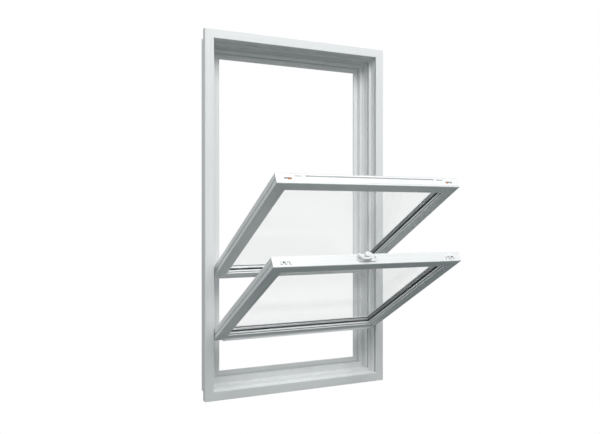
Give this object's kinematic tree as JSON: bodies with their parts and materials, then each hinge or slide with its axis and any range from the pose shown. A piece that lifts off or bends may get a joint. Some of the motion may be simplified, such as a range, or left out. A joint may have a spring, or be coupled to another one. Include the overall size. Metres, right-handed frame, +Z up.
{
  "type": "sash window",
  "caption": "White vinyl tilt-in double-hung window in its mitred frame: two glazed sashes that slide on jamb balances and tilt into the room, with cam lock and tilt latches.",
  "frame": {"origin": "middle of the seat under the sill, where the frame body stands on the rough opening behind the front flange", "axes": "+Z up along the jambs, +Y out of doors, +X to the right as seen from the room"},
  "size_m": [0.766, 0.6536, 1.37],
  "materials": {
    "white_vinyl": "smooth extruded white PVC with a soft satin gloss",
    "glass": "clear polished float glass with a faint green edge",
    "black_rubber": "matte black rubber",
    "pile": "woven pile weatherstrip, pale grey",
    "orange_plastic": "moulded orange-brown plastic",
    "grey_plastic": "moulded pale grey plastic",
    "balance_tube": "thin rolled aluminium tube",
    "spacer": "mill-finish grey spacer bar",
    "steel": "zinc-plated steel"
  },
  "bodies": {
    "root": {"frame_head": "white_vinyl", "frame_sill": "white_vinyl", "frame_jamb_left": "white_vinyl", "frame_jamb_right": "white_vinyl", "frame_pile": "pile", "tube_lower_left": "balance_tube", "tube_lower_right": "balance_tube", "tube_upper_left": "balance_tube", "tube_upper_right": "balance_tube", "tube_plugs": "grey_plastic", "tube_screws": "steel"},
    "lower_carriage": {"shoe_lower_left": "grey_plastic", "shoe_lower_right": "grey_plastic", "rod_lower_left": "steel", "rod_lower_right": "steel"},
    "lower_sash": {"lower_stile_left": "white_vinyl", "lower_stile_right": "white_vinyl", "lower_top_rail": "white_vinyl", "lower_bottom_rail": "white_vinyl", "lower_glazing_beads": "white_vinyl", "lower_gaskets": "black_rubber", "lower_pane_room": "glass", "lower_pane_outer": "glass", "lower_spacer": "spacer", "lower_setting_blocks": "black_rubber", "lower_pivot_bars": "steel", "lower_pivot_cams": "black_rubber", "lower_side_piles": "pile", "lower_bottom_seal": "black_rubber", "lower_latch_housings": "grey_plastic", "lower_latch_springs": "steel", "lock_base": "white_vinyl", "lock_screws": "steel"},
    "lock_lever": {"lock_lever": "white_vinyl"},
    "lower_latch_left": {"lower_latch_left": "white_vinyl"},
    "lower_latch_right": {"lower_latch_right": "white_vinyl"},
    "upper_carriage": {"shoe_upper_left": "grey_plastic", "shoe_upper_right": "grey_plastic", "rod_upper_left": "steel", "rod_upper_right": "steel"},
    "upper_sash": {"upper_stile_left": "white_vinyl", "upper_stile_right": "white_vinyl", "upper_top_rail": "white_vinyl", "upper_bottom_rail": "white_vinyl", "upper_glazing_beads": "white_vinyl", "upper_gaskets": "black_rubber", "upper_pane_room": "glass", "upper_pane_outer": "glass", "upper_spacer": "spacer", "upper_setting_blocks": "black_rubber", "upper_pivot_bars": "steel", "upper_pivot_cams": "black_rubber", "upper_side_piles": "pile", "upper_latch_housings": "grey_plastic", "upper_latch_springs": "steel", "keeper": "white_vinyl", "keeper_screws": "steel"},
    "upper_latch_left": {"upper_latch_left": "white_vinyl", "upper_button_left": "orange_plastic"},
    "upper_latch_right": {"upper_latch_right": "white_vinyl", "upper_button_right": "orange_plastic"}
  },
  "joints": [
    {"name": "lower_slide", "type": "slide", "parent": "root", "child": "lower_carriage", "axis": [0, 0, 1], "range_m": [-0.185, 0.153]},
    {"name": "lower_tilt", "type": "hinge", "parent": "lower_carriage", "child": "lower_sash", "pos_m": [0, -0.0545, 0.214], "axis": [1, 0, 0], "range_deg": [-61, 29]},
    {"name": "lock_turn", "type": "hinge", "parent": "lower_sash", "child": "lock_lever", "pos_m": [-0.02, -0.59533, 0.5378], "axis": [0, 0.8746, -0.4848], "range_deg": [-150, 0]},
    {"name": "lower_latch_left_slide", "type": "slide", "parent": "lower_sash", "child": "lower_latch_left", "axis": [1, 0, 0], "range_m": [-0.006, 0]},
    {"name": "lower_latch_right_slide", "type": "slide", "parent": "lower_sash", "child": "lower_latch_right", "axis": [-1, 0, 0], "range_m": [-0.006, 0]},
    {"name": "upper_slide", "type": "slide", "parent": "root", "child": "upper_carriage", "axis": [0, 0, -1], "range_m": [-0.188, 0.012]},
    {"name": "upper_tilt", "type": "hinge", "parent": "upper_carriage", "child": "upper_sash", "pos_m": [0, -0.015, 0.439], "axis": [1, 0, 0], "range_deg": [-61, 29]},
    {"name": "upper_latch_left_slide", "type": "slide", "parent": "upper_sash", "child": "upper_latch_left", "axis": [1, 0, 0], "range_m": [-0.006, 0]},
    {"name": "upper_latch_right_slide", "type": "slide", "parent": "upper_sash", "child": "upper_latch_right", "axis": [-1, 0, 0], "range_m": [-0.006, 0]}
  ],
  "couplings": [
    {"joint": "upper_tilt", "follows": "lower_tilt", "ratio": 1}
  ]
}
